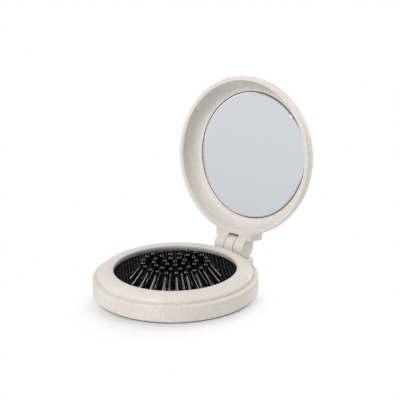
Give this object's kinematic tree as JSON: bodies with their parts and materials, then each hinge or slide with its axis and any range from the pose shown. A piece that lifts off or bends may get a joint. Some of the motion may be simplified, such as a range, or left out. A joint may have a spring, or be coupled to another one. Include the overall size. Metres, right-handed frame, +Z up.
{
  "type": "folding hairbrush with mirror",
  "caption": "Folding pocket hairbrush: a round base holds a pop-up rubber pad of ball-tipped pins, and a hinged lid with a round mirror folds over it.",
  "frame": {"origin": "on the table under the middle of the round brush base", "axes": "+Z up; the hinge axis lies along X behind the base at +Y; the lid stands open at rest"},
  "size_m": [0.0662, 0.0906, 0.078],
  "materials": {
    "shell": "satin ivory plastic with faint straw specks",
    "pad_rubber": "black rubber with a fine woven grain",
    "disc_plastic": "satin black",
    "mirror": "silvered glass",
    "glue": "dull",
    "steel": "drawn wire"
  },
  "bodies": {
    "base": {"base_shell": "shell", "brush_ring": "shell", "pad_skirt": "pad_rubber"},
    "lid": {"lid_shell": "shell", "mirror_glass": "mirror", "mirror_glue": "glue", "hinge_pin": "steel"},
    "brush_centre": {"pad_centre": "pad_rubber", "press_disc": "disc_plastic"},
    "slice_1": {"pad_slice_1": "pad_rubber"},
    "slice_2": {"pad_slice_2": "pad_rubber"},
    "slice_3": {"pad_slice_3": "pad_rubber"},
    "slice_4": {"pad_slice_4": "pad_rubber"},
    "slice_5": {"pad_slice_5": "pad_rubber"},
    "slice_6": {"pad_slice_6": "pad_rubber"},
    "slice_7": {"pad_slice_7": "pad_rubber"}
  },
  "joints": [
    {"name": "lid_hinge", "type": "hinge", "parent": "base", "child": "lid", "pos_m": [0, 0.0381, 0.0077], "axis": [-1, 0, 0], "range_deg": [-99.5, 73.5]},
    {"name": "brush_pop", "type": "slide", "parent": "base", "child": "brush_centre", "axis": [0, 0, 1], "range_m": [0, 0.01053], "deforming": ["pad_skirt", "pad_slice_1", "pad_slice_2", "pad_slice_3", "pad_slice_4", "pad_slice_5", "pad_slice_6", "pad_slice_7", "pad_centre"]},
    {"name": "slice_1_fold", "type": "hinge", "parent": "base", "child": "slice_1", "pos_m": [0.02451, 0.00146, 0.0071], "axis": [-0.0593, 0.9982, 0], "range_deg": [0, 32.99]},
    {"name": "slice_2_fold", "type": "hinge", "parent": "base", "child": "slice_2", "pos_m": [0.01414, 0.02007, 0.0071], "axis": [-0.8174, 0.576, 0], "range_deg": [0, 32.99]},
    {"name": "slice_3_fold", "type": "hinge", "parent": "base", "child": "slice_3", "pos_m": [-0.00687, 0.02357, 0.0071], "axis": [-0.96, -0.2799, 0], "range_deg": [0, 32.99]},
    {"name": "slice_4_fold", "type": "hinge", "parent": "base", "child": "slice_4", "pos_m": [-0.02271, 0.00932, 0.0071], "axis": [-0.3797, -0.9251, 0], "range_deg": [0, 32.99]},
    {"name": "slice_5_fold", "type": "hinge", "parent": "base", "child": "slice_5", "pos_m": [-0.02145, -0.01194, 0.0071], "axis": [0.4866, -0.8737, 0], "range_deg": [0, 32.99]},
    {"name": "slice_6_fold", "type": "hinge", "parent": "base", "child": "slice_6", "pos_m": [-0.00403, -0.02422, 0.0071], "axis": [0.9864, -0.1643, 0], "range_deg": [0, 32.99]},
    {"name": "slice_7_fold", "type": "hinge", "parent": "base", "child": "slice_7", "pos_m": [0.01642, -0.01825, 0.0071], "axis": [0.7435, 0.6688, 0], "range_deg": [0, 32.99]}
  ],
  "couplings": [
    {"joint": "slice_1_fold", "follows": "brush_pop", "rad_per_m": 54.65},
    {"joint": "slice_2_fold", "follows": "brush_pop", "rad_per_m": 54.65},
    {"joint": "slice_3_fold", "follows": "brush_pop", "rad_per_m": 54.65},
    {"joint": "slice_4_fold", "follows": "brush_pop", "rad_per_m": 54.65},
    {"joint": "slice_5_fold", "follows": "brush_pop", "rad_per_m": 54.65},
    {"joint": "slice_6_fold", "follows": "brush_pop", "rad_per_m": 54.65},
    {"joint": "slice_7_fold", "follows": "brush_pop", "rad_per_m": 54.65}
  ]
}
